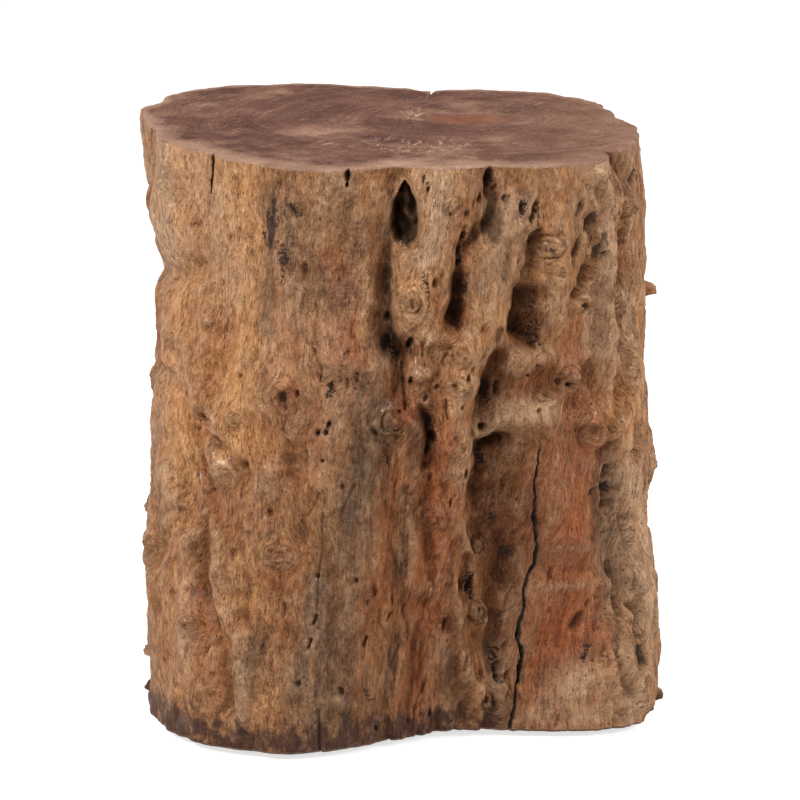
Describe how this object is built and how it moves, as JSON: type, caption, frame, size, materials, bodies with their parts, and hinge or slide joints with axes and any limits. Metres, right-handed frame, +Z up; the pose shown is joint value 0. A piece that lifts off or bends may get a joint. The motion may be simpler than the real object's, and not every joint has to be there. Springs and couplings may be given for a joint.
{
  "type": "stool",
  "caption": "Low seat and side table cut from one block of tree trunk, with a flat sanded top, a gnarled bark-free wall and small glides under its foot.",
  "frame": {"origin": "on the floor, under the middle of the stool's box", "axes": "+Z up, -Y the front that the picture shows, +X to the right seen from the front"},
  "size_m": [0.402, 0.3486, 0.45],
  "materials": {
    "trunk_wood": "bark-free trunk wood under a thin satin clear coat, the sawn top darker and sanded flat",
    "glide_nylon": "moulded brown nylon, satin",
    "nail_steel": "bright zinc-plated steel"
  },
  "bodies": {
    "root": {"trunk": "trunk_wood", "glide_1": "glide_nylon", "glide_2": "glide_nylon", "glide_3": "glide_nylon", "glide_4": "glide_nylon", "glide_nail_1": "nail_steel", "glide_nail_2": "nail_steel", "glide_nail_3": "nail_steel", "glide_nail_4": "nail_steel"}
  },
  "joints": []
}
